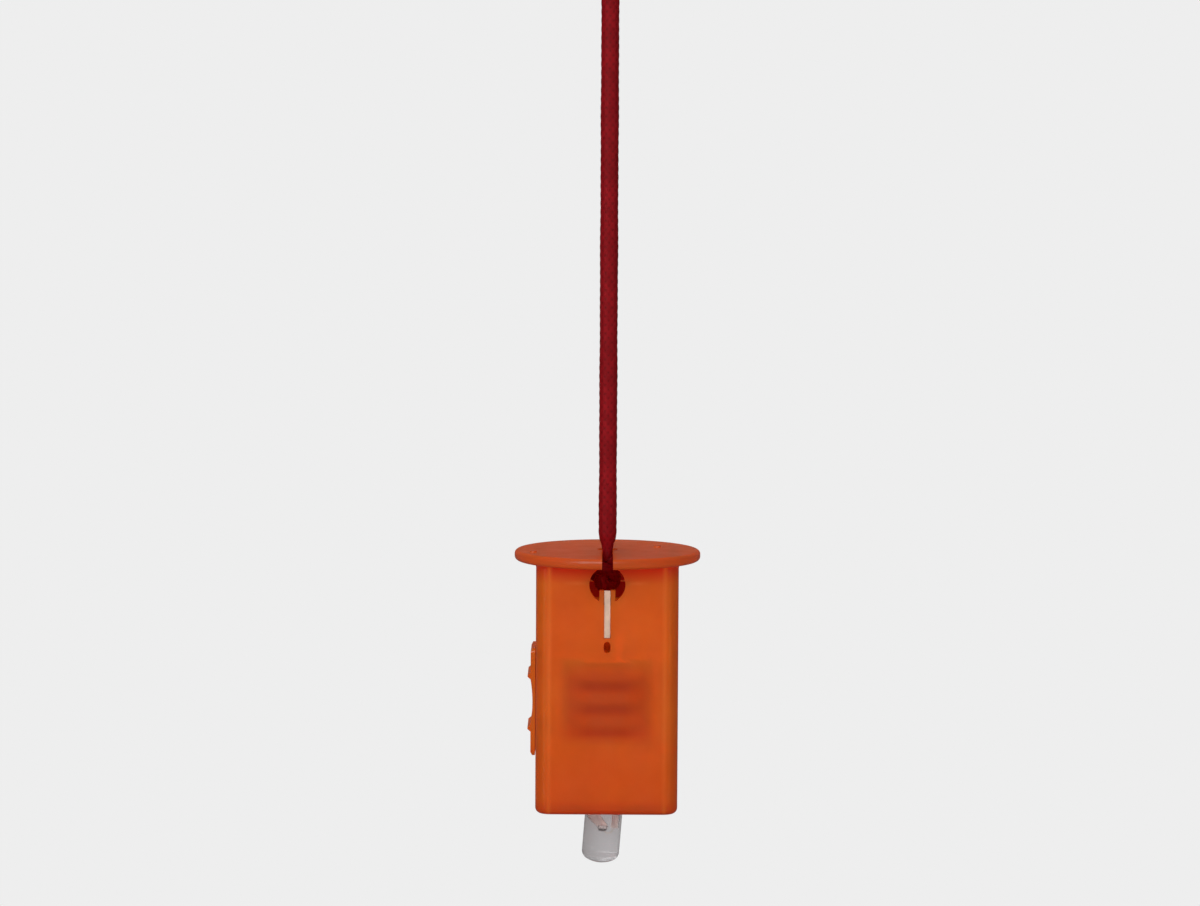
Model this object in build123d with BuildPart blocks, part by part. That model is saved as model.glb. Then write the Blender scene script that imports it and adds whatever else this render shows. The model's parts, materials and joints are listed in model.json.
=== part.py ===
from build123d import *
import math
import os

os.makedirs("parts", exist_ok=True)

# Small battery light that hangs in a festival lantern, in millimetres.
# Origin at the hang point, the inner top of the cord's loop. +Z up, the front faces -Y.

# ---- driving dimensions: cord ----
cord_d = 2.4
loop_drop = 22.0  # hang point down to the loop knot
loop_knot_h = 8.0
line_length = 80.0  # loop knot down to the flange
loop_legs_gap = 2.6  # between the centrelines where the loop leaves its knot

# ---- driving dimensions: housing ----
flange_d = 24.8
flange_t = 1.4
flange_edge = 0.55
flange_bosses = ((-9.85, -4.0), (6.7, 2.8))
body_w, body_d, body_h = 18.9, 15.0, 33.3
body_r = 2.0
base_r, neck_r = 0.8, 0.4
wall = 1.2
cord_hole_d = 2.8
cord_slot_w = 1.45
knot_hole_d = 4.8
knot_hole_drop = 2.5  # flange underside down to the hole's centre
tongue_w, tongue_drop = 2.1, 3.26
tail_slot_w, tail_slot_bottom = 0.9, 9.63
eye_w, eye_h, eye_drop = 0.9, 1.5, 10.84

# ---- driving dimensions: cells and shelves ----
cell_d, cell_h, cell_count = 11.6, 3.1, 3
stack_drop = 13.0  # flange underside down to the top of the cells
strip_t = 0.3
shelf_t = 1.0
spring_h = 2.0
rib_t = 0.9
rib_x = cell_d / 2 + 0.15

# ---- driving dimensions: switch ----
slider_drop = 18.7
slider_h, slider_w, slider_t = 14.4, 8.0, 0.6
ridge_rise, ridge_at = 0.4, 3.5
stem_h, stem_w = 5.0, 3.0
travel = 2.5
slide_gap = 0.1

# ---- driving dimensions: back cover ----
window_w, window_top, window_bottom = 14.5, 3.5, 31.9
cover_gap = 0.1
lip_t, lip_depth = 0.8, 1.0

# ---- driving dimensions: LED ----
led_d, led_rim_d, led_rim_t = 5.0, 5.8, 1.0
led_lean = 4.5  # degrees, the tip towards -X
led_x = -0.25
led_reach = 7.6
led_hole_d = 5.5
led_seat_t = 0.7
lead_w = 0.5
lead_pitch = 2.54
cup_r, cup_h, cup_deep = 0.5, 0.4, 0.1
die_w, die_t = 0.5, 0.35
dome_radius, dome_corner = 4.0, 1.2

# ---- heights worked out from those ----
knot_top_z = -loop_drop
knot_bottom_z = knot_top_z - loop_knot_h
flange_top_z = knot_bottom_z - line_length
under_z = flange_top_z - flange_t
bottom_z = under_z - body_h
floor_z = bottom_z + wall
stack_top_z = under_z - stack_drop
stack_bottom_z = stack_top_z - cell_count * cell_h
upper_shelf_z = stack_top_z + strip_t
lower_shelf_z = stack_bottom_z - spring_h
inner_w, inner_d = body_w - 2 * wall, body_d - 2 * wall
front_y, inner_front_y = -body_d / 2, -inner_d / 2
back_y, inner_back_y = body_d / 2, inner_d / 2
left_x, inner_left_x = -body_w / 2, -inner_w / 2
rib_out = rib_x + rib_t
neck_reach = 10.5  # further out than the body's sides, less than the flange's edge
wall_to_wall = (-inner_w / 2 - 0.1, inner_w / 2 + 0.1)
shelf_front_y, shelf_back_y = inner_front_y + 1.0, 5.0
shelf_arm_back_y = -2.4
rib_front_y, rib_back_y = inner_front_y + 2.0, 3.0


def centre(low, high):
    return (low + high) / 2


def block(x, y, z, mode=Mode.ADD):
    """A box between the given limits on each axis, in the part being built."""
    with BuildSketch(Plane.XY.offset(z[0])) as base:
        with Locations((centre(*x), centre(*y))):
            Rectangle(x[1] - x[0], y[1] - y[0])
    extrude(base.sketch, amount=z[1] - z[0], mode=mode)


def save(part, name):
    part.label = name
    export_step(part, f"parts/{name}.step")


# ---- housing: flange, hollow body, shelves and the openings in its walls ----
with BuildPart() as housing:
    with BuildSketch(Plane.XY.offset(bottom_z)):
        RectangleRounded(body_w, body_d, body_r)
    extrude(amount=body_h)
    fillet(housing.edges().group_by(Axis.Z)[0], base_r)
    with BuildSketch(Plane.XY.offset(under_z)):
        Circle(flange_d / 2)
    extrude(amount=flange_t)
    rim = housing.edges().filter_by(GeomType.CIRCLE)
    fillet(rim.filter_by(lambda e: abs(e.radius - flange_d / 2) < 0.01), flange_edge)
    junction = housing.edges().filter_by_position(Axis.Z, under_z - 0.01, under_z + 0.01)
    fillet(junction.filter_by(lambda e: e.center().X**2 + e.center().Y**2 < neck_reach**2), neck_r)
    # two small bosses on the flange, left and right of the cord
    for boss_x, boss_y in flange_bosses:
        with BuildSketch(Plane.XY.offset(flange_top_z - 0.1)):
            with Locations((boss_x, boss_y)):
                Circle(0.55)
        extrude(amount=0.3, taper=25)
    # hollow, left solid under the flange
    with BuildSketch(Plane.XY.offset(floor_z)):
        RectangleRounded(inner_w, inner_d, body_r - wall + 0.2)
    extrude(amount=under_z - floor_z, mode=Mode.SUBTRACT)
    # shelves above and below the cells, held by the side walls, and a rib each side of them
    block(wall_to_wall, (shelf_front_y, shelf_back_y), (upper_shelf_z, upper_shelf_z + shelf_t))
    lower_shelf = (lower_shelf_z - shelf_t, lower_shelf_z)
    block((-rib_out, rib_out), (shelf_front_y, shelf_back_y), lower_shelf)
    block(wall_to_wall, (shelf_front_y, shelf_arm_back_y), lower_shelf)
    for side in (-1, 1):
        block(
            sorted((side * rib_x, side * rib_out)),
            (rib_front_y, rib_back_y),
            (lower_shelf_z, stack_top_z - 0.1),
        )
        # stiffening rib across the inside of the front wall, each side of the knot hole
        block(
            sorted((side * 2.5, side * 5.6)),
            (inner_front_y - 0.1, inner_front_y + 0.6),
            (under_z - 2.6, under_z - 2.0),
        )
    # cord hole and the slot that the cord is slipped in by
    with BuildSketch(Plane.XY.offset(under_z - 1.0)):
        Circle(cord_hole_d / 2)
        with Locations((0, -flange_d / 4 - 0.5)):
            Rectangle(cord_slot_w, flange_d / 2 + 1)
    extrude(amount=flange_t + 1.5, mode=Mode.SUBTRACT)
    # knot hole in the front wall, with the tongue that stands up in it
    with BuildSketch(Plane.XZ.offset(-inner_front_y - 0.1)):
        with Locations((0, under_z - knot_hole_drop)):
            Circle(knot_hole_d / 2)
        with Locations((0, under_z - tongue_drop)):
            Rectangle(
                tongue_w,
                knot_hole_d,
                align=(Align.CENTER, Align.MAX),
                mode=Mode.SUBTRACT,
            )
    extrude(amount=wall + 0.2, mode=Mode.SUBTRACT)
    # slot for the contact's tail, and the small oval eye under it
    block(
        (-tail_slot_w / 2, tail_slot_w / 2),
        (front_y - 0.1, inner_front_y + 0.1),
        (under_z - tail_slot_bottom, under_z - tongue_drop + 0.5),
        Mode.SUBTRACT,
    )
    with BuildSketch(Plane.XZ.offset(-inner_front_y - 0.1)):
        with Locations((0, under_z - eye_drop)):
            SlotOverall(eye_h, eye_w, rotation=90)
    extrude(amount=wall + 0.2, mode=Mode.SUBTRACT)
    # the leaf contact's way out under the left rib
    block(
        (-rib_out - 0.1, -rib_x + 0.1),
        (-1.9, 1.9),
        (lower_shelf_z, lower_shelf_z + 0.7),
        Mode.SUBTRACT,
    )
    # switch slot in the left wall
    block(
        (left_x - 0.1, inner_left_x + 0.1),
        (-stem_w / 2 - slide_gap, stem_w / 2 + slide_gap),
        (
            under_z - slider_drop - stem_h / 2 - 0.05,
            under_z - slider_drop + stem_h / 2 + travel + 0.05,
        ),
        Mode.SUBTRACT,
    )
    # window in the back wall
    with BuildSketch(Plane.XZ.offset(-back_y - 0.1)):
        with Locations((0, under_z - centre(window_top, window_bottom))):
            RectangleRounded(window_w, window_bottom - window_top, 1.0)
    extrude(amount=wall + 0.3, mode=Mode.SUBTRACT)
    # LED hole, with a thinner seat round it
    with BuildSketch(Plane.XY.offset(bottom_z - 0.1)):
        with Locations((led_x, 0)):
            Circle(led_hole_d / 2)
    extrude(amount=wall + 0.2, mode=Mode.SUBTRACT)
    with BuildSketch(Plane.XY.offset(bottom_z + led_seat_t)):
        with Locations((led_x, 0)):
            Circle(led_rim_d / 2 + 0.4)
    extrude(amount=wall, mode=Mode.SUBTRACT)
save(housing.part, "housing")

# ---- back cover: plate in the window, with a lip inside and finger ridges outside ----
cover_w = window_w - 2 * cover_gap
cover_h = window_bottom - window_top - 2 * cover_gap
cover_z = under_z - centre(window_top, window_bottom)
with BuildPart() as back_cover:
    with BuildSketch(Plane.XZ.offset(-back_y)):
        with Locations((0, cover_z)):
            RectangleRounded(cover_w, cover_h, 1.0 - cover_gap)
    extrude(amount=wall)
    with BuildSketch(Plane.XZ.offset(-inner_back_y)):
        with Locations((0, cover_z)):
            RectangleRounded(cover_w, cover_h, 1.0 - cover_gap)
            RectangleRounded(
                cover_w - 2 * lip_t, cover_h - 2 * lip_t, 0.4, mode=Mode.SUBTRACT
            )
    extrude(amount=lip_depth)
    for row in range(5):
        block(
            (-3.5, 3.5),
            (back_y - 0.1, back_y + 0.35),
            (cover_z - 8.0 - 1.2 * row, cover_z - 7.5 - 1.2 * row),
        )
    # nail notch in the lower edge
    block(
        (-2.0, 2.0),
        (back_y - 0.6, back_y + 0.1),
        (cover_z - cover_h / 2 - 0.1, cover_z - cover_h / 2 + 0.7),
        Mode.SUBTRACT,
    )
save(back_cover.part, "back_cover")

# ---- switch slider: thumb plate outside, stem through the wall, retainer inside ----
slider_z = under_z - slider_drop
plate_x = left_x - slide_gap
face_x = plate_x - slider_t
retainer_x = inner_left_x + slide_gap
with BuildPart() as switch_slider:
    with BuildSketch(Plane.XZ.offset(-slider_w / 2)):
        with BuildLine():
            half, low, top = slider_h / 2, ridge_at - 0.45, face_x - ridge_rise
            lower = Polyline(
                (face_x, slider_z - low),
                (top, slider_z - ridge_at + 0.1),
                (top, slider_z - ridge_at - 0.1),
                (face_x, slider_z - ridge_at - 0.45),
                (face_x, slider_z - half + 0.5),
                (face_x + 0.25, slider_z - half),
                (plate_x, slider_z - half),
                (plate_x, slider_z + half),
                (face_x + 0.25, slider_z + half),
                (face_x, slider_z + half - 0.5),
                (face_x, slider_z + ridge_at + 0.45),
                (top, slider_z + ridge_at + 0.1),
                (top, slider_z + ridge_at - 0.1),
                (face_x, slider_z + low),
            )
            ThreePointArc(lower @ 1, (face_x + 0.25, slider_z), lower @ 0)
        make_face()
    extrude(amount=slider_w)
    fillet(
        switch_slider.edges().filter_by(Axis.X).filter_by(
            lambda e: abs(e.length - (slider_t - 0.25)) < 0.01
        ),
        0.6,
    )
    block(
        (plate_x - 0.1, retainer_x + 0.1),
        (-stem_w / 2, stem_w / 2),
        (slider_z - stem_h / 2, slider_z + stem_h / 2),
    )
    block(
        (retainer_x, retainer_x + 0.4),
        (-stem_w / 2 - 0.8, stem_w / 2 + 0.8),
        (slider_z - stem_h / 2, slider_z + stem_h / 2),
    )
save(switch_slider.part, "switch_slider")

# ---- switch bridge: metal plate on the retainer that joins the two terminals when on ----
bridge_x = retainer_x + 0.4
bridge_z = slider_z - stem_h / 2 + 0.2
with BuildPart() as switch_bridge:
    block((bridge_x, bridge_x + 0.25), (-1.2, 1.2), (bridge_z, bridge_z + 3.0))
    fillet(switch_bridge.edges().filter_by(Axis.Y).group_by(Axis.X)[-1], 0.15)
save(switch_bridge.part, "switch_bridge")

# ---- cells: can, cap and gasket of each, the caps down ----
can_r = cell_d / 2
for number in range(1, cell_count + 1):
    top_z = stack_top_z - (number - 1) * cell_h
    cell_axis = Axis((0, 0, 0), (0, 0, 1))
    with BuildPart() as can:
        with BuildSketch(Plane.XZ):
            with BuildLine():
                shell = Polyline(
                    (0, top_z),
                    (can_r - 0.35, top_z),
                    (can_r, top_z - 0.35),
                    (can_r, top_z - 2.5),
                    (can_r - 0.45, top_z - 3.0),
                    (can_r - 0.65, top_z - 3.0),
                    (can_r - 0.65, top_z - 2.8),
                    (can_r - 0.25, top_z - 2.45),
                    (can_r - 0.25, top_z - 0.3),
                    (0, top_z - 0.3),
                    close=True,
                )
            make_face()
        revolve(axis=cell_axis)
    save(can.part, f"cell_{number}_can")
    with BuildPart() as cap:
        with BuildSketch(Plane.XZ):
            with BuildLine():
                Polyline(
                    (0, top_z - 0.35),
                    (can_r - 0.6, top_z - 0.35),
                    (can_r - 0.6, top_z - 2.4),
                    (can_r - 1.2, top_z - 2.6),
                    (can_r - 1.3, top_z - 3.0),
                    (can_r - 1.45, top_z - cell_h),
                    (0, top_z - cell_h),
                    close=True,
                )
            make_face()
        revolve(axis=cell_axis)
    save(cap.part, f"cell_{number}_cap")
    with BuildPart() as gasket:
        with BuildSketch(Plane.XZ):
            with BuildLine():
                Polyline(
                    (can_r - 0.58, top_z - 0.5),
                    (can_r - 0.27, top_z - 0.5),
                    (can_r - 0.27, top_z - 2.42),
                    (can_r - 0.67, top_z - 2.79),
                    (can_r - 0.67, top_z - 2.95),
                    (can_r - 1.24, top_z - 2.95),
                    (can_r - 1.18, top_z - 2.63),
                    (can_r - 0.58, top_z - 2.43),
                    close=True,
                )
            make_face()
        revolve(axis=cell_axis)
    save(gasket.part, f"cell_{number}_gasket")

# ---- top contact: pad on the cells, tail up into the front slot, arm down to the LED ----
tail_w = 0.8
tail_y = front_y + 0.1
riser_y = inner_front_y + 0.45
arm_x = rib_out + 0.25
arm_bottom_z = lower_shelf_z - shelf_t - 1.8
jog_z = under_z - tail_slot_bottom + 0.05
riser_x = (1.1, 2.0)  # beside the eye, which it leaves clear
with BuildPart() as top_contact:
    block(
        (-tail_w / 2, tail_w / 2),
        (tail_y, tail_y + strip_t),
        (jog_z, under_z - tongue_drop - 0.02),
    )
    block((-tail_w / 2, tail_w / 2), (tail_y, riser_y + strip_t), (jog_z, jog_z + strip_t))
    block((-tail_w / 2, riser_x[1]), (riser_y, riser_y + strip_t), (jog_z, jog_z + 0.6))
    block(riser_x, (riser_y, riser_y + strip_t), (stack_top_z, jog_z + 0.6))
    block((-3.0, 3.0), (riser_y, 3.5), (stack_top_z, stack_top_z + strip_t))
    block((2.5, arm_x + strip_t), (-0.8, 0.8), (stack_top_z, stack_top_z + strip_t))
    block((arm_x, arm_x + strip_t), (-0.8, 0.8), (arm_bottom_z, stack_top_z + strip_t))
save(top_contact.part, "top_contact")

# ---- leaf contact: spring under the cells, its leg up to the switch ----
leg_x = -rib_out - 0.35
leaf_z = lower_shelf_z + strip_t / 2
leg_top_z = slider_z + 0.8
with BuildPart() as leaf_contact:
    with BuildSketch(Plane.XZ.offset(-1.6)):
        with BuildLine():
            FilletPolyline(
                (leg_x, leg_top_z),
                (leg_x, leaf_z),
                (4.9, leaf_z),
                (5.3, leaf_z + 0.75),
                (0.0, stack_bottom_z - 0.06),
                (-3.6, leaf_z + 0.95),
                radius=[0.35, 0.2, 0.25, 4.0],
            )
        trace(line_width=strip_t)
    extrude(amount=3.2)
save(leaf_contact.part, "leaf_contact")

# ---- lamp terminal: from the switch's upper contact down to the LED ----
with BuildPart() as lamp_terminal:
    pad_x = (leg_x - strip_t / 2, leg_x + strip_t / 2)
    block(pad_x, (-1.5, 4.6), (slider_z + 1.8, slider_z + 5.1))
    block(pad_x, (3.0, 4.6), (arm_bottom_z, slider_z + 2.0))
save(lamp_terminal.part, "lamp_terminal")

# ---- LED: clear lens on two leads, the die in a cup on the cathode ----
lean = math.radians(led_lean)
led_axis_dir = Vector(-math.sin(lean), 0, -math.cos(lean))
led_side_dir = Vector(math.cos(lean), 0, -math.sin(lean))
led_origin = Vector(led_x, 0, bottom_z)
led_plane = Plane(origin=led_origin, x_dir=led_side_dir, z_dir=led_axis_dir)
led_section = Plane(origin=led_origin, x_dir=led_side_dir, z_dir=-led_plane.y_dir)
tip_s = led_reach / math.cos(lean)
cup_s = tip_s - 4.7
rim_s = -(led_seat_t + led_rim_d / 2 * math.sin(lean) + 0.06)
base_s = rim_s - led_rim_t


def led_point(across, along):
    return led_origin + led_side_dir * across + led_axis_dir * along


def square_wire(points, bend):
    with BuildLine():
        path = FilletPolyline(*points, radius=bend)
    with BuildSketch(Plane(origin=path @ 0, x_dir=(0, 1, 0), z_dir=path % 0)) as section:
        Rectangle(lead_w, lead_w)
    sweep(section.sketch, path=path)


lead_end_z = arm_bottom_z + 0.6
with BuildPart() as led_cathode_lead:
    square_wire(
        (
            (leg_x + strip_t / 2, 3.8, lead_end_z),
            (-2.6, 3.8, lead_end_z),
            (led_point(-lead_pitch / 2, base_s - 1.6).X, 0, lead_end_z),
            led_point(-lead_pitch / 2, base_s - 1.0),
            led_point(-lead_pitch / 2, 0.6),
        ),
        [0.4, 0.3, 0.3],
    )
    # the anvil, a plate that slants from the lead to the middle
    with BuildSketch(led_section):
        with BuildLine():
            Polyline(
                (-1.55, 0.3),
                (-1.0, 0.3),
                (-0.35, 1.0),
                (0.45, cup_s - 0.45),
                (-0.35, cup_s - 0.1),
                (-1.4, 1.75),
                (-1.55, 1.5),
                close=True,
            )
        make_face()
    extrude(amount=lead_w / 2, both=True)
    # the cup at its end, which holds the die
    with BuildSketch(led_plane.offset(cup_s - cup_h)):
        Circle(cup_r)
    extrude(amount=cup_h)
    with BuildSketch(led_plane.offset(cup_s - cup_deep)):
        Circle(cup_r - 0.1)
    extrude(amount=cup_deep, mode=Mode.SUBTRACT)
save(led_cathode_lead.part, "led_cathode_lead")

with BuildPart() as led_anode_lead:
    square_wire(
        (
            (arm_x, 0, lead_end_z),
            (led_point(lead_pitch / 2, base_s - 1.2).X, 0, lead_end_z),
            led_point(lead_pitch / 2, 1.0),
        ),
        [0.4],
    )
    # its flat head, reaching in over the gap
    with BuildSketch(led_plane.offset(0.9)):
        with Locations((lead_pitch / 2 - 0.1, 0)):
            Rectangle(0.75, lead_w)
    extrude(amount=cup_s - 1.05)
save(led_anode_lead.part, "led_anode_lead")

# solder joints that hold the two leads on their strips
for name, lead, joint_x, joint_y, outward in (
    ("anode_solder", led_anode_lead, arm_x, 0, -1),
    ("cathode_solder", led_cathode_lead, leg_x + strip_t / 2, 3.8, 1),
):
    joint_face = Plane(
        origin=(joint_x, joint_y, lead_end_z), x_dir=(0, 1, 0), z_dir=(outward, 0, 0)
    )
    with BuildPart() as solder:
        with BuildSketch(joint_face):
            Circle(0.65)
        extrude(amount=0.6, taper=22)
        add(lead.part, mode=Mode.SUBTRACT)
    save(solder.part, name)

with BuildPart() as led_die:
    with BuildSketch(led_plane.offset(cup_s - cup_deep)):
        Rectangle(die_w, die_w)
    extrude(amount=die_t)
save(led_die.part, "led_die")

with BuildPart() as led_lens:
    with BuildSketch(led_section):
        with BuildLine():
            r, rim_r = led_d / 2, led_rim_d / 2
            side = Polyline(
                (0, base_s),
                (rim_r, base_s),
                (rim_r, rim_s),
                (r, rim_s),
                (r, tip_s - dome_radius + math.sqrt(dome_radius**2 - r**2)),
            )
            dome = RadiusArc(side @ 1, (0, tip_s), -dome_radius)
            Line(dome @ 1, side @ 0)
        make_face()
    revolve(axis=Axis(led_origin, led_axis_dir))
    rings = led_lens.edges().filter_by(GeomType.CIRCLE)
    fillet(rings.filter_by(lambda e: abs(e.radius - r) < 0.01).sort_by(Axis.Z)[0], dome_corner)
    # the flat that marks the cathode side
    with BuildSketch(led_plane.offset(base_s)):
        with Locations((-rim_r - 0.2, 0)):
            Rectangle(1.0, 6.0)
    extrude(amount=led_rim_t, mode=Mode.SUBTRACT)
    add(led_cathode_lead.part, mode=Mode.SUBTRACT)
    add(led_anode_lead.part, mode=Mode.SUBTRACT)
    add(led_die.part, mode=Mode.SUBTRACT)
save(led_lens.part, "led_lens")

# ---- cord: line, stop knot under the flange, loop knot and loop on top ----
cord_r = cord_d / 2
stop_top_z = under_z - 0.15
stop_knot_r = 2.6
stop_bottom_z = stop_top_z - 3.9
with BuildPart() as cord_line:
    with BuildSketch(Plane.XY.offset(stop_top_z)):
        Circle(cord_r)
    extrude(amount=knot_bottom_z - stop_top_z)
save(cord_line.part, "cord_line")

with BuildPart() as stop_knot:
    with BuildSketch(Plane.XY.offset(stop_bottom_z)):
        Circle(stop_knot_r)
    extrude(amount=stop_top_z - stop_bottom_z)
    fillet(stop_knot.edges().filter_by(GeomType.CIRCLE), 0.85)
    # the cord's short tail
    with BuildSketch(Plane.XY.offset(stop_bottom_z - 2.0)):
        Circle(1.1)
    extrude(amount=2.1)
save(stop_knot.part, "stop_knot")

with BuildPart() as loop_knot:
    with BuildSketch(Plane.XZ):
        with BuildLine():
            end_r = loop_legs_gap / 2 + cord_r
            ends = Polyline(
                (end_r, knot_bottom_z), (0, knot_bottom_z), (0, knot_top_z), (end_r, knot_top_z)
            )
            ThreePointArc(
                ends @ 1, (3.3, centre(knot_bottom_z, knot_top_z)), ends @ 0
            )
        make_face()
    revolve(axis=Axis.Z)
save(loop_knot.part, "loop_knot")

# the loop's centreline: out of the knot, round the hook and back
loop_half = [
    (loop_legs_gap / 2, knot_top_z),
    (loop_legs_gap / 2 + 0.9, knot_top_z + 5.5),
    (8.4, knot_top_z + 11.9),
    (7.0, knot_top_z + 20.6),
]
loop_route = loop_half + [(0.0, knot_top_z + 24.0)] + [(-x, z) for x, z in reversed(loop_half)]


def corner_radius(before, at, after):
    """The largest arc that the two runs beside a corner allow."""
    run_in, run_out = at - before, after - at
    turn = math.radians(run_in.get_angle(run_out))
    return 0.45 * min(run_in.length, run_out.length) / math.tan(turn / 2)


route_points = [Vector(x, 0, z) for x, z in loop_route]
loop_radii = [
    corner_radius(*route_points[i : i + 3]) for i in range(len(route_points) - 2)
]
print("loop radii", [round(r, 2) for r in loop_radii])
with BuildPart() as cord_loop:
    with BuildLine():
        loop_path = FilletPolyline(*route_points, radius=loop_radii)
    with BuildSketch(Plane(origin=loop_path @ 0, z_dir=loop_path % 0)):
        Circle(cord_r)
    sweep(path=loop_path)
print("loop length", round(loop_path.length, 2), "crown", round(loop_path.bounding_box().max.Z, 2))
filled = cord_loop.part.volume / (math.pi * cord_r**2 * loop_path.length)
print("loop volume over section times length", round(filled, 4))
save(cord_loop.part, "cord_loop")
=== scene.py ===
import json
import math
import random

import bmesh
import bpy
import numpy as np
from mathutils import Matrix, Vector


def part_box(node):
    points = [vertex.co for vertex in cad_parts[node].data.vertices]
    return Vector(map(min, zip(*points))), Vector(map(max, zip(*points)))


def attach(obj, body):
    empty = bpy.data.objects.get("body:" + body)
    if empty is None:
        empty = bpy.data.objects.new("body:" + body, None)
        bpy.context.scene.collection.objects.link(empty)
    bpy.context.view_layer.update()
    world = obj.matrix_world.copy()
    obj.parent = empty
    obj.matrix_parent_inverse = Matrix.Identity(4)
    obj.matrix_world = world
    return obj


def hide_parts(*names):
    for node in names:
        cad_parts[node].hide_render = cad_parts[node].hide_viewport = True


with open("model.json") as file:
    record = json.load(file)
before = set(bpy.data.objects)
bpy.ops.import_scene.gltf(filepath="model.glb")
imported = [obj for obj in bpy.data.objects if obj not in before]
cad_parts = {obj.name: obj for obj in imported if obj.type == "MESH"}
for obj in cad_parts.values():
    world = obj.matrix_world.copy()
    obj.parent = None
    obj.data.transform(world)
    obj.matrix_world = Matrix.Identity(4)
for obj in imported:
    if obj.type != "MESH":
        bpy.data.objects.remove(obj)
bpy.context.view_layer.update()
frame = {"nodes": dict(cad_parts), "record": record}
nodes = frame["nodes"]
MM = 0.001

# ---- places read from the frame ----
LINE_LENGTH = 80.0 * MM  # of the cord, from the flange's top to the loop knot
FLANGE_THICKNESS = 1.4 * MM
CELL_HEIGHT = 3.1 * MM
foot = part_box("housing")[0].z
line_low, line_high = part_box("cord_line")
loop_knot_low, loop_knot_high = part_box("loop_knot")
stop_knot_low, stop_knot_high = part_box("stop_knot")
lens_low, lens_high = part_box("led_lens")
die_low, die_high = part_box("led_die")
stack_top, stack_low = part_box("cell_1_can")[1].z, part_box("cell_3_can")[0].z
flange_top = line_high.z - LINE_LENGTH
flange_under = flange_top - FLANGE_THICKNESS


# ---- camera: long lens, a little above the light ----
VIEW_WIDTH = 0.160  # width of the view at the light
CAMERA_AWAY = 0.60
CAMERA_PITCH = math.radians(5.3)
CAMERA_ROLL = math.radians(0.3)
aim = Vector((-1.07 * MM, 0.0, flange_top + 12.9 * MM))  # the middle of the view
camera = bpy.data.objects.new("camera", bpy.data.cameras.new("camera"))
bpy.context.scene.collection.objects.link(camera)
bpy.context.scene.camera = camera
camera.data.sensor_width = 36.0
camera.data.lens = 36.0 * CAMERA_AWAY / VIEW_WIDTH
towards = Vector((0.0, math.cos(CAMERA_PITCH), -math.sin(CAMERA_PITCH)))
camera.location = aim - towards * CAMERA_AWAY
turn = towards.to_track_quat("-Z", "Y").to_matrix().to_4x4()
camera.matrix_world = (
    Matrix.Translation(camera.location) @ turn @ Matrix.Rotation(CAMERA_ROLL, 4, "Z")
)
camera.data.clip_start, camera.data.clip_end = 0.01, 50.0


# ---- materials ----
def new_material(name):
    material = bpy.data.materials.new(name)
    material.use_nodes = True
    tree = material.node_tree
    return material, tree, tree.nodes["Principled BSDF"]


def add_node(tree, kind, **values):
    """A node with its properties and unlinked inputs set by name."""
    node = tree.nodes.new(kind)
    for key, value in values.items():
        if key in node.inputs:
            node.inputs[key].default_value = value
        else:
            setattr(node, key, value)
    return node


def feed(tree, socket, value):
    """Give a socket what it needs: another socket, a colour or a number."""
    if isinstance(value, bpy.types.NodeSocket):
        tree.links.new(value, socket)
    elif isinstance(value, tuple):
        socket.default_value = (*value, 1.0)
    else:
        socket.default_value = value


def object_coordinates(tree):
    return add_node(tree, "ShaderNodeTexCoord").outputs["Object"]


def noise(tree, scale, detail=3.0, roughness=0.55, stretch=None):
    """A noise pattern in object space; scale is in features per metre."""
    place = object_coordinates(tree)
    if stretch:
        mapping = add_node(tree, "ShaderNodeMapping")
        mapping.inputs["Scale"].default_value = stretch
        tree.links.new(place, mapping.inputs["Vector"])
        place = mapping.outputs["Vector"]
    pattern = add_node(tree, "ShaderNodeTexNoise", Scale=scale, Detail=detail, Roughness=roughness)
    tree.links.new(place, pattern.inputs["Vector"])
    return pattern.outputs["Fac"]


def ramp(tree, source, stops):
    """A colour ramp on source; stops are (position, colour)."""
    node = add_node(tree, "ShaderNodeValToRGB")
    elements = node.color_ramp.elements
    while len(elements) < len(stops):
        elements.new(0.5)
    for element, (position, colour) in zip(elements, stops):
        element.position = position
        element.color = (*colour, 1.0)
    tree.links.new(source, node.inputs["Fac"])
    return node.outputs["Color"]


def remap(tree, source, low, high, to_low=0.0, to_high=1.0):
    node = add_node(
        tree,
        "ShaderNodeMapRange",
        **{"From Min": low, "From Max": high, "To Min": to_low, "To Max": to_high},
    )
    tree.links.new(source, node.inputs["Value"])
    return node.outputs["Result"]


def mix(tree, factor, first, second):
    """Two colours mixed; each of the three may be a socket or a plain value."""
    node = add_node(tree, "ShaderNodeMix", data_type="RGBA")
    for number, value in ((0, factor), (6, first), (7, second)):
        feed(tree, node.inputs[number], value)
    return node.outputs[2]


def tint(tree, colour, mask, other, most=1.0):
    """A colour turned towards another where the mask is one, by at most the given share."""
    return mix(tree, remap(tree, mask, 0.0, 1.0, 0.0, most), colour, other)


def calculate(tree, operation, *values):
    """A calculation on values that may be sockets or numbers."""
    node = add_node(tree, "ShaderNodeMath", operation=operation)
    for socket, value in zip(node.inputs, values):
        feed(tree, socket, value)
    return node.outputs[0]


def overlap(tree, *masks):
    """The product of masks: one only where every one of them is."""
    whole = masks[0]
    for mask in masks[1:]:
        whole = calculate(tree, "MULTIPLY", whole, mask)
    return whole


def band(tree, source, low, middle, high):
    """One at the middle value, falling off to nothing at low and at high."""
    return overlap(tree, remap(tree, source, low, middle), remap(tree, source, high, middle))


def bump(tree, shader, height, distance, strength):
    node = add_node(tree, "ShaderNodeBump", Strength=strength, Distance=distance)
    tree.links.new(height, node.inputs["Height"])
    tree.links.new(node.outputs["Normal"], shader.inputs["Normal"])


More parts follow.
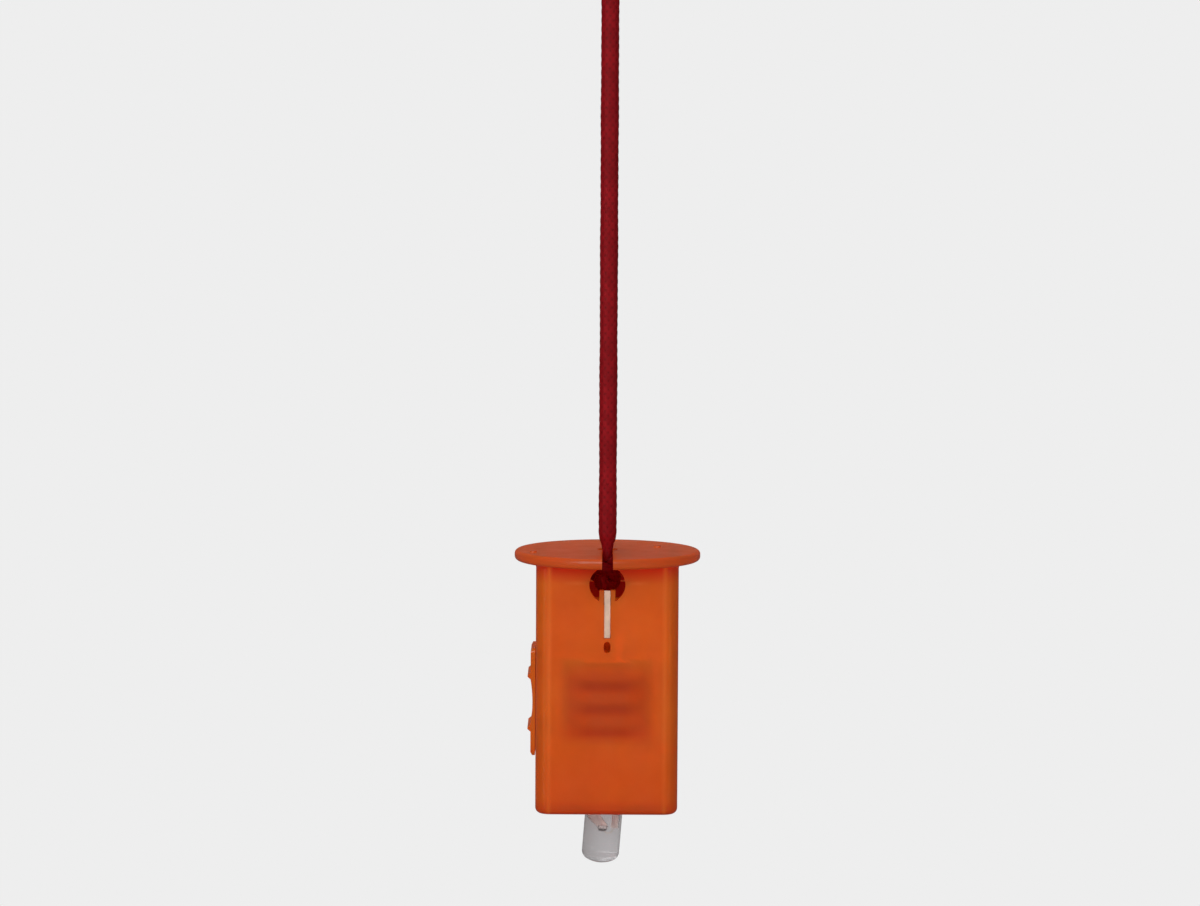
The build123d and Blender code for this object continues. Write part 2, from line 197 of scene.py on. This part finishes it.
def part_along(tree, vector, axis):
    split = add_node(tree, "ShaderNodeSeparateXYZ")
    tree.links.new(vector, split.inputs["Vector"])
    return split.outputs[axis]


def place_along(tree, axis):
    """The place along one axis of the shared frame."""
    return part_along(tree, object_coordinates(tree), axis)


def place_across(tree):
    """The distance left or right of the middle."""
    return calculate(tree, "ABSOLUTE", place_along(tree, "X"))


def let_lamps_through(tree, shader, colour):
    """Lamps shine through this material, coloured by it, instead of being blocked."""
    through = add_node(tree, "ShaderNodeBsdfTransparent")
    feed(tree, through.inputs["Color"], colour)
    rays = add_node(tree, "ShaderNodeLightPath")
    both = add_node(tree, "ShaderNodeMixShader")
    tree.links.new(rays.outputs["Is Shadow Ray"], both.inputs[0])
    tree.links.new(shader.outputs["BSDF"], both.inputs[1])
    tree.links.new(through.outputs["BSDF"], both.inputs[2])
    tree.links.new(both.outputs["Shader"], tree.nodes["Material Output"].inputs["Surface"])


def crimp_shade(tree):
    """One at the crimp between each cell and the next, where shade is painted; nothing at the bright
    middle of each can.
    """
    drop = calculate(tree, "SUBTRACT", stack_top, place_along(tree, "Z"))
    share = calculate(tree, "FRACT", calculate(tree, "DIVIDE", drop, CELL_HEIGHT))
    none, full = (0.0, 0.0, 0.0), (1.0, 1.0, 1.0)
    return ramp(tree, share, [(0.06, full), (0.36, none), (0.60, none), (0.92, full)])


def clouded_orange(tree):
    """The plastic's colour, clouded: red painted shade under the flange and at the foot, where the
    plastic is also thick, and paler in the flange.
    """
    cloud = noise(tree, 220.0, 4.0)
    orange = ramp(
        tree,
        cloud,
        [(0.25, (0.74, 0.160, 0.007)), (0.55, (0.79, 0.185, 0.009)), (0.85, (0.83, 0.210, 0.011))],
    )
    z = place_along(tree, "Z")
    red, pale = (0.72, 0.055, 0.006), (0.70, 0.135, 0.018)
    # painted shade, partly the thick plastic: red under the flange and near the foot
    under_flange_shade = remap(tree, z, flange_under - 2.4 * MM, flange_under - 0.3 * MM)
    bottom_shade = remap(tree, z, foot + 2.0 * MM, foot)
    in_flange = remap(tree, z, flange_under - 0.3 * MM, flange_under + 0.2 * MM)
    for mask, colour in ((under_flange_shade, red), (bottom_shade, red), (in_flange, pale)):
        orange = tint(tree, orange, mask, colour)
    return orange


def below_flange(tree):
    return remap(tree, place_along(tree, "Z"), flange_under + 0.1 * MM, flange_under - 0.1 * MM)


def with_painted_highlight(tree, colour):
    """Painted highlights: paler lines where the walls turn into their corners, and along the rib near
    the top.
    """
    painted_highlight = (0.90, 0.27, 0.03)
    z, across = place_along(tree, "Z"), place_across(tree)
    rib_z, rib_half = flange_under - 2.3 * MM, 0.35 * MM
    corner = band(tree, across, 7.2 * MM, 7.65 * MM, 8.1 * MM)
    rib = overlap(
        tree,
        band(tree, z, rib_z - rib_half, rib_z, rib_z + rib_half),
        band(tree, across, 2.2 * MM, 4.0 * MM, 5.8 * MM),
    )
    # painted highlights on the corners and along the rib
    for mask, most in ((corner, 0.75), (rib, 0.8)):
        colour = tint(tree, colour, overlap(tree, mask, below_flange(tree)), painted_highlight, most)
    return colour


def with_painted_cell_shade_and_highlight(tree, colour):
    """Painted shade in front of the cells, darkest at each crimp between them, and a painted highlight
    where a can is nearest.
    """
    z, across = place_along(tree, "Z"), place_across(tree)
    stack = overlap(
        tree,
        remap(tree, z, stack_top + 0.2 * MM, stack_top - 2.0 * MM),
        remap(tree, z, stack_low - 1.8 * MM, stack_low - 0.2 * MM),
        remap(tree, place_along(tree, "Y"), -5.2 * MM, -5.9 * MM),
        remap(tree, across, 6.6 * MM, 4.8 * MM),
    )
    crimp = overlap(tree, stack, crimp_shade(tree), remap(tree, across, 4.8 * MM, 2.4 * MM))
    # painted highlight: the bright middle of each can
    can = remap(tree, crimp_shade(tree), 0.5, 0.0)
    can = overlap(tree, stack, can, remap(tree, across, 3.0 * MM, 1.8 * MM))
    colour = tint(tree, colour, stack, (0.68, 0.070, 0.005), 0.60)
    colour = tint(tree, colour, crimp, (0.48, 0.026, 0.002), 0.45)
    return tint(tree, colour, can, (0.66, 0.120, 0.012), 0.60)


def with_painted_chamber_shade(tree, colour):
    """Painted shade in deep red inside, behind the knot hole, on the faces that can be seen through
    it.
    """
    depth = place_along(tree, "Y")
    normal = add_node(tree, "ShaderNodeTexCoord").outputs["Normal"]
    looks_forward = remap(tree, part_along(tree, normal, "Y"), -0.3, -0.7)
    mask = overlap(
        tree,
        remap(tree, place_along(tree, "Z"), flange_under - 6.4 * MM, flange_under - 5.8 * MM),
        below_flange(tree),
        remap(tree, place_across(tree), 3.3 * MM, 2.7 * MM),
        remap(tree, depth, -6.25 * MM, -5.9 * MM),
        remap(tree, depth, 6.7 * MM, 6.4 * MM),
        calculate(tree, "MAXIMUM", looks_forward, remap(tree, depth, 3.5 * MM, 3.0 * MM)),
    )
    # deep red painted shade behind the knot hole
    return tint(tree, colour, mask, (0.20, 0.0002, 0.001))


def orange_plastic():
    """Moulded translucent orange: cloudy inside, with a satin face and faint scuffs."""
    material, tree, shader = new_material("orange_plastic")
    z = place_along(tree, "Z")
    colour = with_painted_cell_shade_and_highlight(tree, with_painted_highlight(tree, clouded_orange(tree)))
    # painted shade, darker towards the foot
    lower_shade = remap(tree, z, stack_low + 3.0 * MM, foot)
    colour = tint(tree, colour, lower_shade, (0.66, 0.085, 0.006), 0.45)
    tree.links.new(with_painted_chamber_shade(tree, colour), shader.inputs["Base Color"])
    shader.inputs["IOR"].default_value = 1.46
    shader.inputs["Transmission Weight"].default_value = 0.75
    shader.inputs["Specular IOR Level"].default_value = 0.16
    scuffs = noise(tree, 350.0, 2.0, 0.5, (1.0, 1.0, 0.4))
    tree.links.new(remap(tree, scuffs, 0.3, 0.8, 0.30, 0.42), shader.inputs["Roughness"])
    bump(tree, shader, noise(tree, 700.0, 2.0), 0.010 * MM, 0.3)
    near_top = remap(tree, z, flange_under - 7.0 * MM, flange_under - 4.5 * MM)
    light = mix(tree, near_top, (0.66, 0.17, 0.022), (0.52, 0.065, 0.010))
    let_lamps_through(tree, shader, light)
    return material


def nickel(name, colour, low, high, grain, metallic=1.0):
    """Plated metal with rolling grain and a little tarnish; roughness runs from low to high."""
    material, tree, shader = new_material(name)
    tarnish = noise(tree, 500.0, 4.0)
    dull = tuple(c * 0.72 for c in colour)
    tree.links.new(ramp(tree, tarnish, [(0.3, dull), (0.6, colour)]), shader.inputs["Base Color"])
    shader.inputs["Metallic"].default_value = metallic
    streaks = noise(tree, 2500.0, 3.0, 0.6, grain)
    tree.links.new(remap(tree, streaks, 0.3, 0.7, low, high), shader.inputs["Roughness"])
    bump(tree, shader, streaks, 0.004 * MM, 0.5)
    return material


def can_steel():
    """Cell steel, with painted shade darkening it round the crimp between one can and the next."""
    material = nickel("cell_steel", (0.62, 0.60, 0.58), 0.28, 0.48, (0.2, 0.2, 1.0))
    tree = material.node_tree
    shader = tree.nodes["Principled BSDF"]
    bright = shader.inputs["Base Color"].links[0].from_socket
    # painted shade: dark round each crimp
    tree.links.new(mix(tree, crimp_shade(tree), bright, (0.11, 0.10, 0.095)), shader.inputs["Base Color"])
    return material


def seal():
    material, tree, shader = new_material("cell_seal")
    tone = noise(tree, 1500.0)
    tree.links.new(
        ramp(tree, tone, [(0.3, (0.012, 0.012, 0.013)), (0.7, (0.03, 0.028, 0.028))]),
        shader.inputs["Base Color"],
    )
    tree.links.new(remap(tree, tone, 0.3, 0.7, 0.5, 0.7), shader.inputs["Roughness"])
    return material


def epoxy():
    """Clear LED lens, faintly clouded, with painted shade making it a little darker to the left."""
    material, tree, shader = new_material("led_epoxy")
    across = remap(tree, place_along(tree, "X"), lens_low.x, lens_high.x)
    # painted shade: darker towards the left of the lens
    clear = ramp(
        tree, across, [(0.0, (0.62, 0.60, 0.60)), (0.5, (0.84, 0.82, 0.83)), (1.0, (0.97, 0.96, 0.97))]
    )
    tree.links.new(clear, shader.inputs["Base Color"])
    shader.inputs["IOR"].default_value = 1.5
    shader.inputs["Transmission Weight"].default_value = 0.92
    shader.inputs["Specular IOR Level"].default_value = 0.2
    haze = noise(tree, 700.0, 4.0)
    tree.links.new(remap(tree, haze, 0.3, 0.7, 0.08, 0.18), shader.inputs["Roughness"])
    bump(tree, shader, noise(tree, 1200.0), 0.006 * MM, 0.4)
    let_lamps_through(tree, shader, (0.9, 0.9, 0.9))
    return material


def chip():
    material, tree, shader = new_material("led_chip")
    tone = noise(tree, 6000.0)
    tree.links.new(
        ramp(tree, tone, [(0.3, (0.01, 0.008, 0.008)), (0.7, (0.05, 0.035, 0.03))]),
        shader.inputs["Base Color"],
    )
    shader.inputs["Roughness"].default_value = 0.3
    return material


def gold():
    material, tree, shader = new_material("bond_gold")
    tone = noise(tree, 5000.0)
    tree.links.new(
        ramp(tree, tone, [(0.3, (0.75, 0.5, 0.2)), (0.7, (0.95, 0.7, 0.3))]),
        shader.inputs["Base Color"],
    )
    shader.inputs["Metallic"].default_value = 1.0
    shader.inputs["Roughness"].default_value = 0.25
    return material


def satin_cord():
    """Dark red braid: the attribute braid_gap paints shade between yarns, yarn_tone varies each yarn.
    """
    material, tree, shader = new_material("red_cord")
    gap_shade = add_node(tree, "ShaderNodeAttribute", attribute_name="braid_gap").outputs["Fac"]
    tone = add_node(tree, "ShaderNodeAttribute", attribute_name="yarn_tone").outputs["Fac"]
    red = ramp(tree, tone, [(0.0, (0.140, 0.0020, 0.004)), (1.0, (0.185, 0.0034, 0.006))])
    dye = noise(tree, 300.0, 3.0)
    red = mix(tree, remap(tree, dye, 0.35, 0.7, 0.0, 0.5), red, (0.105, 0.0015, 0.003))
    # painted shade between the yarns
    tree.links.new(mix(tree, gap_shade, red, (0.060, 0.0008, 0.0015)), shader.inputs["Base Color"])
    fibres = noise(tree, 9000.0, 2.0, 0.6, (1.0, 1.0, 0.25))
    tree.links.new(remap(tree, fibres, 0.3, 0.7, 0.42, 0.62), shader.inputs["Roughness"])
    bump(tree, shader, fibres, 0.012 * MM, 0.6)
    shader.inputs["Specular IOR Level"].default_value = 0.08
    return material


def give(piece, material):
    piece.data.materials.clear()
    piece.data.materials.append(material)


led_chip, bond_gold, red_cord = chip(), gold(), satin_cord()
finishes = {
    "orange_plastic": orange_plastic(),
    "contact_metal": nickel(
        "contact_metal", (0.95, 0.66, 0.50), 0.34, 0.50, (1.0, 1.0, 0.08), metallic=0.72
    ),
    "cell_steel": can_steel(),
    "cell_seal": seal(),
    "led_epoxy": epoxy(),
    "lead_metal": nickel(
        "lead_metal", (0.95, 0.90, 0.85), 0.35, 0.5, (1.0, 1.0, 0.2), metallic=0.15
    ),
    "led_chip": led_chip,
    "red_cord": red_cord,
}
for subpart in frame["record"]["subparts"]:
    give(nodes[subpart["node"]], finishes[subpart["material_slot"]])


# ---- the cord ----
CORD = 2.4 * MM
knot_top, knot_bottom = loop_knot_high.z, loop_knot_low.z
# one side of the loop, out from the middle and up from the loop knot, in millimetres
loop_half = [(1.3, 0.0), (2.2, 5.5), (8.4, 11.9), (7.0, 20.6)]
LOOP_CROWN = 24.0 * MM
cord_route = [(0.0, 0.0, z) for z in (line_low.z, line_high.z - 6 * CORD, line_high.z)]
cord_route += [(x * MM, 0.0, knot_top + z * MM) for x, z in loop_half]
cord_route += [(0.0, 0.0, knot_top + LOOP_CROWN)]
cord_route += [(-x * MM, 0.0, knot_top + z * MM) for x, z in reversed(loop_half)]
cord_route += [(-1.2 * MM, 0.0, knot_top - 1.5 * MM)]  # its end is hidden in the knot


def spline_points(name, points, resolution):
    """Points read from the smooth line whose control points these are."""
    curve = bpy.data.curves.new(name, "CURVE")
    curve.dimensions = "3D"
    curve.resolution_u = resolution
    spline = curve.splines.new("NURBS")
    spline.points.add(len(points) - 1)
    for at, point in zip(spline.points, points):
        at.co = (*point, 1.0)
    spline.order_u = 3
    spline.use_endpoint_u = True
    holder = bpy.data.objects.new(name, curve)
    mesh = bpy.data.meshes.new_from_object(holder)
    line = np.array([v.co for v in mesh.vertices], float).reshape(-1, 3)
    bpy.data.objects.remove(holder)
    bpy.data.curves.remove(curve)
    bpy.data.meshes.remove(mesh)
    return line


def even(line, step):
    """The line again in points about a step apart, and how far along it each one is."""
    run = np.concatenate([[0], np.cumsum(np.linalg.norm(np.diff(line, axis=0), axis=1))])
    count = max(2, int(round(run[-1] / step)) + 1)
    at = np.linspace(0, run[-1], count)
    return np.stack([np.interp(at, run, line[:, k]) for k in range(3)], axis=1), at


def transported(line):
    """Two sideways directions at each point of a line, carried along without twist."""
    tangent = np.gradient(line, axis=0)
    tangent /= np.linalg.norm(tangent, axis=1)[:, None]
    side = np.array([0.0, 1.0, 0.0])
    sides = np.empty_like(line)
    for i, t in enumerate(tangent):
        side = side - side @ t * t
        side /= np.linalg.norm(side)
        sides[i] = side
    return sides, np.cross(tangent, sides)


YARNS = 8  # each way round the braid
BRAID_STEP = 1.15 * MM  # along the cord, from one yarn to the next of the same hand
YARN_RISE = 0.045 * MM  # of a yarn's crown above its edge
YARN_WEAVE = 0.45  # how much higher or lower it is at a crossing, as a share of that rise
MEAN_HEIGHT = 1.15  # of the yarns in the same share, taken off to keep the cord's thickness
RING_STEP = 0.11 * MM  # along the cord, from one ring of the mesh to the next


def braid(name, line, along, radius, around):
    """A braided cord's surface along a line, with the yarns in its shape and in two attributes.

    The radius is one value, or one for each point of the line.
    """
    side, up = transported(line)
    rings, angle = len(line), np.arange(around) / around
    s, a = np.meshgrid(along, angle, indexing="ij")
    left, right = YARNS * a + s / BRAID_STEP, YARNS * a - s / BRAID_STEP

    def yarn(own, other, hand):
        index = np.floor(own)
        crown = np.cos(np.pi * (own - index - 0.5)) ** 0.6
        over = hand * np.where(index % 2 == 0, 1.0, -1.0) * np.cos(np.pi * (other - 0.5))
        return crown + YARN_WEAVE * over, index

    high_l, index_l = yarn(left, right, 1.0)
    high_r, index_r = yarn(right, left, -1.0)
    height = np.maximum(high_l, high_r)
    index = np.where(high_l > high_r, index_l % YARNS, YARNS + index_r % YARNS)
    # a little thicker and thinner along the cord, as a real braid is
    wander = 1.0 + 0.012 * np.sin(s / (2.9 * MM)) + 0.010 * np.sin(s / (1.37 * MM) + 2.0)
    reach = np.broadcast_to(radius, rings)[:, None] * wander + YARN_RISE * (height - MEAN_HEIGHT)
    turn = 2 * np.pi * a
    points = (
        line[:, None, :]
        + (reach * np.cos(turn))[..., None] * side[:, None, :]
        + (reach * np.sin(turn))[..., None] * up[:, None, :]
    )
    tones = np.array([random.Random(17 + k).random() for k in range(2 * YARNS)])
    # painted shade between the yarns, from each yarn's height
    gap_shade = np.clip((1.05 - height) / 0.9, 0.0, 1.0)  # nothing on the crowns, one deep between them
    faces = []
    for i in range(rings - 1):
        for j in range(around):
            k = (j + 1) % around
            faces.append((i * around + j, i * around + k, (i + 1) * around + k, (i + 1) * around + j))
    last_ring = (rings - 1) * around
    faces += [tuple(reversed(range(around))), tuple(range(last_ring, last_ring + around))]
    mesh = bpy.data.meshes.new(name)
    mesh.from_pydata(points.reshape(-1, 3).tolist(), [], faces)
    mesh.polygons.foreach_set("use_smooth", [True] * len(mesh.polygons))
    for attribute, values in (("braid_gap", gap_shade), ("yarn_tone", tones[index.astype(int)])):
        layer = mesh.attributes.new(attribute, "FLOAT", "POINT")
        layer.data.foreach_set("value", np.asarray(values.reshape(-1), np.float32))
    mesh.update()
    piece = bpy.data.objects.new(name, mesh)
    bpy.context.scene.collection.objects.link(piece)
    give(piece, red_cord)
    return piece


cord_line, cord_along = even(spline_points("cord_route", cord_route, 64), RING_STEP)
# drawn thinner where the slot in the flange grips it
GRIP_TOP, GRIP_RUN, GRIP_SHARE = 2.2 * MM, 2.4 * MM, 0.42
grip = np.clip((flange_top + GRIP_TOP - cord_line[:, 2]) / GRIP_RUN, 0.0, 1.0)
cord_radius = CORD / 2 * (1.0 - GRIP_SHARE * grip**2 * (3 - 2 * grip))
cord = braid("cord", cord_line, cord_along, cord_radius, 44)
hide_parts("cord_line", "cord_loop")
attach(cord, "root")


def knot_piece(name, points, radius, node):
    line, along = even(spline_points(name, points, 24), RING_STEP)
    piece = braid(name, line, along, radius, 32)
    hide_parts(node)
    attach(piece, "root")
    return piece


def stop_knot():
    """An overhand knot, drawn tight under the flange, with a short tail."""
    radius, tail, steps = 0.95 * MM, 2.0 * MM, 15
    spread, depth, rise = 0.70 * MM, 1.02 * MM, 0.50 * MM  # of its lobes
    middle = (stop_knot_high.z + stop_knot_low.z + tail) / 2
    points = [(0.0, 0.0, line_low.z + 0.3 * MM)]
    for step in range(steps):
        t = math.radians(60 + 300 * (step + 0.5) / steps)
        x, z = math.sin(t) + 2 * math.sin(2 * t), math.cos(t) - 2 * math.cos(2 * t)
        points.append((spread * x, -depth * math.sin(3 * t), middle + rise * z))
    points += [(0.2 * MM, 0.0, middle - 1.6 * MM), (0.1 * MM, 0.0, stop_knot_low.z)]
    return knot_piece("stop_knot_braid", points, radius, "stop_knot")


def loop_knot():
    """The cord's end wrapped round the loop's two legs, with its tail hanging out below."""
    radius, turns, steps = 1.08 * MM, 2.4, 30
    width, depth, height, lean = 2.55 * MM, 2.15 * MM, 5.0 * MM, 1.1 * MM
    middle = (knot_top + knot_bottom) / 2
    points = [(1.2 * MM, 0.5 * MM, knot_top + 0.2 * MM)]
    for step in range(steps + 1):
        share = step / steps
        t = 2 * math.pi * turns * share + 0.6
        z = middle + height * (0.5 - share) + lean * math.sin(t)
        points.append((width * math.cos(t), depth * math.sin(t), z))
    points += [(0.9 * MM, -1.6 * MM, knot_bottom - 1.0 * MM)]
    points += [(2.0 * MM, -1.9 * MM, knot_bottom - 4.5 * MM)]
    return knot_piece("loop_knot_braid", points, radius, "loop_knot")


stop_braid, loop_braid = stop_knot(), loop_knot()


# ---- inside the LED ----
def bond_wire():
    """The gold wire from the die to the anode post."""
    middle = (die_low + die_high) / 2
    start = middle - Vector((0, 0, 0.08 * MM))
    end = Vector((middle.x + 1.05 * MM, 0.0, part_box("led_anode_lead")[0].z - 0.01 * MM))
    top = (start + end) / 2 - Vector((0, 0, 0.55 * MM))
    curve = bpy.data.curves.new("led_bond_wire", "CURVE")
    curve.dimensions = "3D"
    curve.bevel_depth = 0.025 * MM
    curve.bevel_resolution = 2
    spline = curve.splines.new("BEZIER")
    spline.bezier_points.add(2)
    for point, at in zip(spline.bezier_points, (start, top, end)):
        point.co = at
        point.handle_left_type = point.handle_right_type = "AUTO"
    wire = bpy.data.objects.new("led_bond_wire", curve)
    bpy.context.scene.collection.objects.link(wire)
    give(wire, bond_gold)
    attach(wire, "root")


def die_shade_blob():
    """A dark blob round the foot of the die: painted shade, standing in for the dark cup that it sits
    in.
    """
    across, half_height = 0.40 * MM, 0.26 * MM
    x, y = (die_low.x + die_high.x) / 2, (die_low.y + die_high.y) / 2
    z = die_low.z + 0.14 * MM
    body = bmesh.new()
    bmesh.ops.create_icosphere(body, subdivisions=3, radius=1.0)
    for vertex in body.verts:
        at = vertex.co
        vertex.co = (x + across * at.x, y + across * at.y, z + half_height * at.z)
    for face in body.faces:
        face.smooth = True
    mesh = bpy.data.meshes.new("led_die_glue")
    body.to_mesh(mesh)
    body.free()
    blob = bpy.data.objects.new("led_die_glue", mesh)
    bpy.context.scene.collection.objects.link(blob)
    give(blob, led_chip)
    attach(blob, "root")


bond_wire()
die_shade_blob()


# ---- stage: pale floor, pale surroundings and soft lamps ----
FLOOR_DROP = 1.2  # below the LED
FLOOR_HALF = 20.0
PALE = 0.855


def floor():
    """A floor that only the camera sees, as pale as the surroundings."""
    z = lens_low.z - FLOOR_DROP
    corners = [(x * FLOOR_HALF, y * FLOOR_HALF, z) for x, y in ((-1, -1), (1, -1), (1, 1), (-1, 1))]
    mesh = bpy.data.meshes.new("floor")
    mesh.from_pydata(corners, [], [(0, 1, 2, 3)])
    piece = bpy.data.objects.new("floor", mesh)
    bpy.context.scene.collection.objects.link(piece)
    material, _, shader = new_material("floor")
    shader.inputs["Base Color"].default_value = (0.0, 0.0, 0.0, 1.0)
    shader.inputs["Roughness"].default_value = 1.0
    shader.inputs["Specular IOR Level"].default_value = 0.0
    shader.inputs["Emission Color"].default_value = (1.0, 1.0, 1.0, 1.0)
    shader.inputs["Emission Strength"].default_value = PALE
    give(piece, material)
    piece.visible_diffuse = False
    piece.visible_glossy = False
    piece.visible_transmission = False
    piece.visible_shadow = False


def surroundings():
    """Pale to the camera, and dimmer in what lights, crosses or mirrors in the pieces."""
    world = bpy.data.worlds.new("studio")
    bpy.context.scene.world = world
    world.use_nodes = True
    sky = world.node_tree
    light = sky.nodes["Background"]
    light.inputs["Color"].default_value = (1.0, 0.98, 0.96, 1.0)
    light.inputs["Strength"].default_value = 0.20
    rays = add_node(sky, "ShaderNodeLightPath")
    seen = light.outputs[0]
    strengths = (("Is Glossy Ray", 0.12), ("Is Transmission Ray", 0.36), ("Is Camera Ray", PALE))
    for kind, strength in strengths:
        backing = add_node(sky, "ShaderNodeBackground", Color=(1.0, 1.0, 1.0, 1.0), Strength=strength)
        chosen = add_node(sky, "ShaderNodeMixShader")
        sky.links.new(rays.outputs[kind], chosen.inputs[0])
        sky.links.new(seen, chosen.inputs[1])
        sky.links.new(backing.outputs[0], chosen.inputs[2])
        seen = chosen.outputs[0]
    sky.links.new(seen, sky.nodes["World Output"].inputs["Surface"])


def lamp(name, place, width, height, power, mirrored=False):
    """An area lamp turned to the body; mirrored says whether shiny and clear surfaces show it."""
    body_middle = Vector((0.0, 0.0, flange_under - 15 * MM))
    data = bpy.data.lights.new(name, "AREA")
    data.shape = "RECTANGLE"
    data.size, data.size_y = width, height
    data.energy = power
    light = bpy.data.objects.new(name, data)
    bpy.context.scene.collection.objects.link(light)
    light.location = place
    light.rotation_euler = (body_middle - Vector(place)).to_track_quat("-Z", "Y").to_euler()
    light.visible_camera = False
    light.visible_glossy = light.visible_transmission = mirrored


floor()
surroundings()
lamp("key", (-0.20, -0.72, 0.32), 0.60, 0.50, 4.9, mirrored=True)
lamp("low_fill", (0.08, -0.60, -0.50), 0.30, 0.30, 0.7)
lamp("left_strip", (-0.50, -0.45, -0.1), 0.22, 0.5, 2.6)
lamp("right_strip", (0.50, -0.45, -0.1), 0.22, 0.5, 2.2)
lamp("top", (-0.1, 0.15, 0.55), 0.4, 0.4, 5.2)
lamp("behind", (0.1, 0.7, 0.0), 0.5, 0.4, 2.0)

bpy.context.scene.view_settings.view_transform = "Standard"
